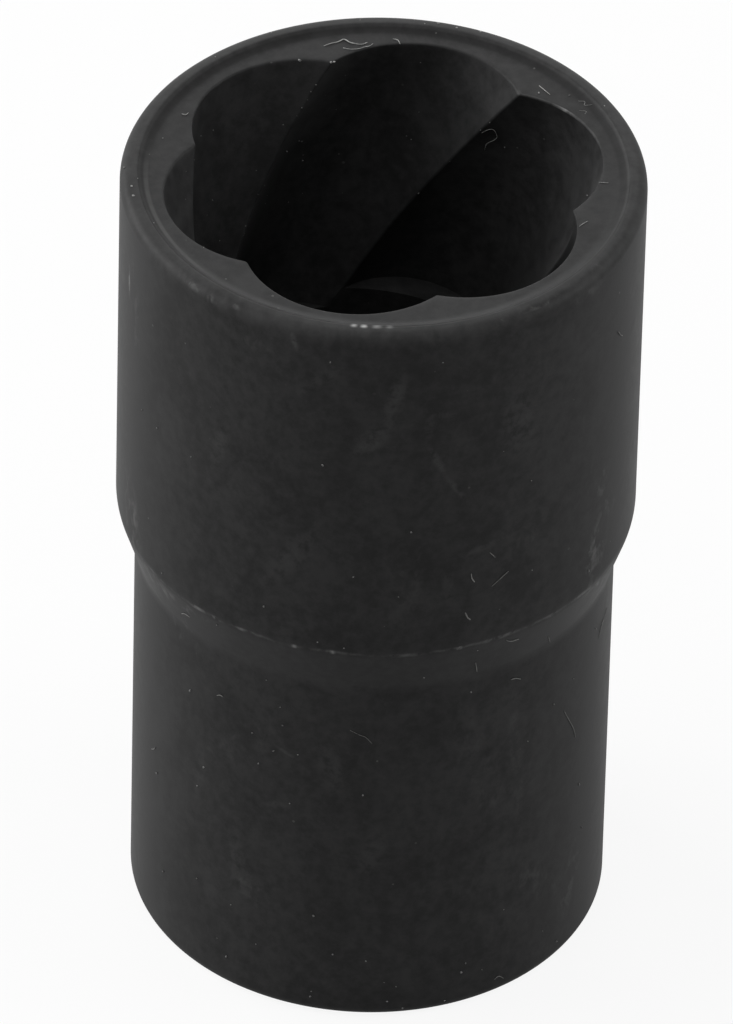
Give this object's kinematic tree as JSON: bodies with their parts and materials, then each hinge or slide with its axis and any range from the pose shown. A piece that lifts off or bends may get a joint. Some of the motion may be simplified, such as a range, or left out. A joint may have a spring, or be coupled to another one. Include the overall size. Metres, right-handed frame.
{
  "type": "nut extractor socket",
  "caption": "Round steel socket with left-hand spiral flutes that bite a rounded-off nut, a stepped body and a square drive hole.",
  "frame": {"origin": "centre of the flat face at the drive end, which the socket stands on", "axes": "+Z along the socket's axis from the drive end to the mouth; +X through the middle of one lobe of the mouth and square to one flat of the drive hole"},
  "size_m": [0.03, 0.03, 0.0514],
  "materials": {
    "black_phosphate_steel": "black phosphate coating, matt, slightly mottled"
  },
  "bodies": {
    "root": {"socket_body": "black_phosphate_steel"}
  },
  "joints": []
}
